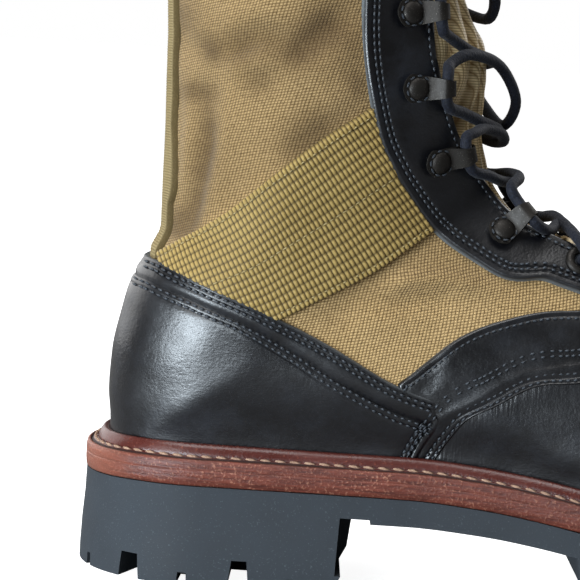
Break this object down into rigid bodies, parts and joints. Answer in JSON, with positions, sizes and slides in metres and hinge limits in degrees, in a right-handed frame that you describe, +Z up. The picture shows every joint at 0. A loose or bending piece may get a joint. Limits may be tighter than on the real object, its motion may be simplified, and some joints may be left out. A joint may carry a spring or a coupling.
{
  "type": "lace-up boot",
  "caption": "Lace-up boot for the right foot: canvas shaft with ribbed tape, black leather foot and facings, storm welt and lugged rubber sole with a heel, standing empty on its sole.",
  "frame": {"origin": "on the floor under the centre of the heel", "axes": "+X towards the toe, +Y towards the medial side, +Z up"},
  "size_m": [0.3052, 0.1083, 0.2513],
  "materials": {
    "black_leather": "black polished leather, fine grain, creased",
    "board_leather": "plain tan leather board",
    "canvas": "worn khaki duck canvas, matt, soft folds",
    "gunmetal": "dark gunmetal plating, worn at its edges",
    "lace_cord": "navy-black waxed braid",
    "midsole_leather": "red-brown edge-finished leather with fibre streaks",
    "rubber": "matt moulded dark slate rubber, lightly scuffed",
    "tongue_canvas": "browner waxed canvas, pleated",
    "webbing": "olive-gold ribbed nylon tape",
    "welt_leather": "dark red-brown waxed leather strip, rounded and shiny"
  },
  "bodies": {
    "root": {"backstay": "webbing", "collar_binding": "webbing", "counter": "black_leather", "counter_band": "black_leather", "eyelet_lateral_1": "gunmetal", "eyelet_lateral_2": "gunmetal", "eyelet_medial_1": "gunmetal", "eyelet_medial_2": "gunmetal", "eyestay_lateral": "black_leather", "eyestay_medial": "black_leather", "insole": "board_leather", "lace_bar": "lace_cord", "lace_crossings": "lace_cord", "loop_lateral_1": "gunmetal", "loop_lateral_2": "gunmetal", "loop_lateral_3": "gunmetal", "loop_lateral_4": "gunmetal", "loop_lateral_5": "gunmetal", "loop_lateral_6": "gunmetal", "loop_lateral_7": "gunmetal", "loop_medial_1": "gunmetal", "loop_medial_2": "gunmetal", "loop_medial_3": "gunmetal", "loop_medial_4": "gunmetal", "loop_medial_5": "gunmetal", "loop_medial_6": "gunmetal", "loop_medial_7": "gunmetal", "midsole": "midsole_leather", "outsole": "rubber", "tongue": "tongue_canvas", "upper": "canvas", "vamp": "black_leather", "vamp_strap": "black_leather", "webbing_lateral": "webbing", "webbing_medial": "webbing", "welt": "welt_leather"}
  },
  "joints": []
}
